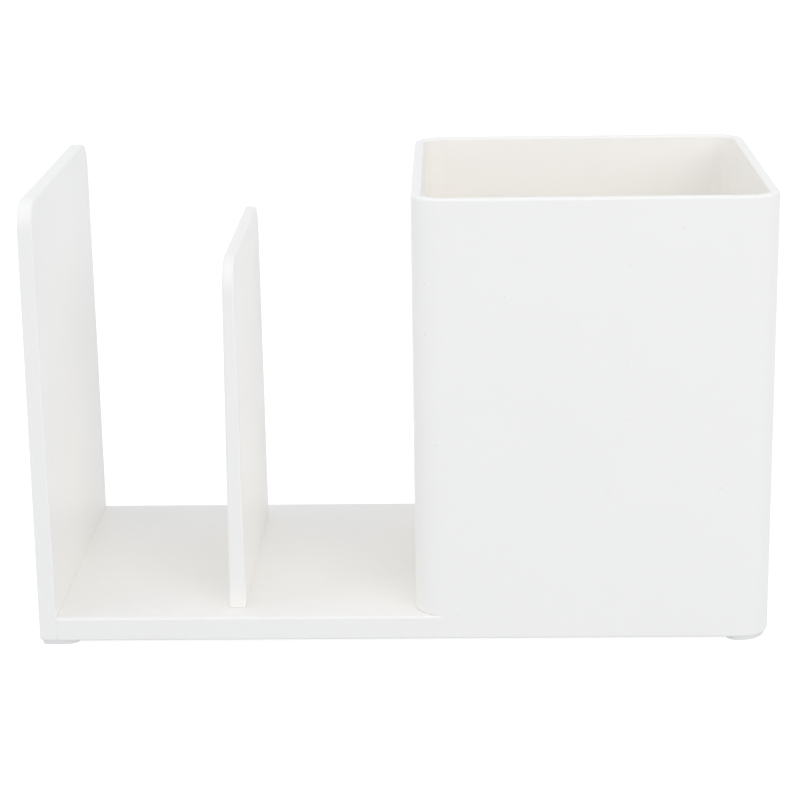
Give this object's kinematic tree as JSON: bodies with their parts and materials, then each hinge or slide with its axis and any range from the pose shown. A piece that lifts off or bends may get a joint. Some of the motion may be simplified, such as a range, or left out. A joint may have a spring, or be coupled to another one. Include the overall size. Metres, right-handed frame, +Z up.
{
  "type": "pen holder",
  "caption": "White moulded pen holder: a square pen cup with rounded corners beside a low open tray, where a tall side panel and a shorter divider form upright slots.",
  "frame": {"origin": "under the middle of the object, on the surface that its feet stand on", "axes": "+X to the right, towards the pen cup; +Y to the back; +Z up"},
  "size_m": [0.1655, 0.08, 0.102],
  "materials": {
    "white_abs": "semi-gloss moulded white",
    "foot_silicone": "matt off-white"
  },
  "bodies": {
    "root": {"base_tray": "white_abs", "pen_cup": "white_abs", "side_panel": "white_abs", "divider": "white_abs", "foot_front_left": "foot_silicone", "foot_front_right": "foot_silicone", "foot_rear_left": "foot_silicone", "foot_rear_right": "foot_silicone"}
  },
  "joints": []
}
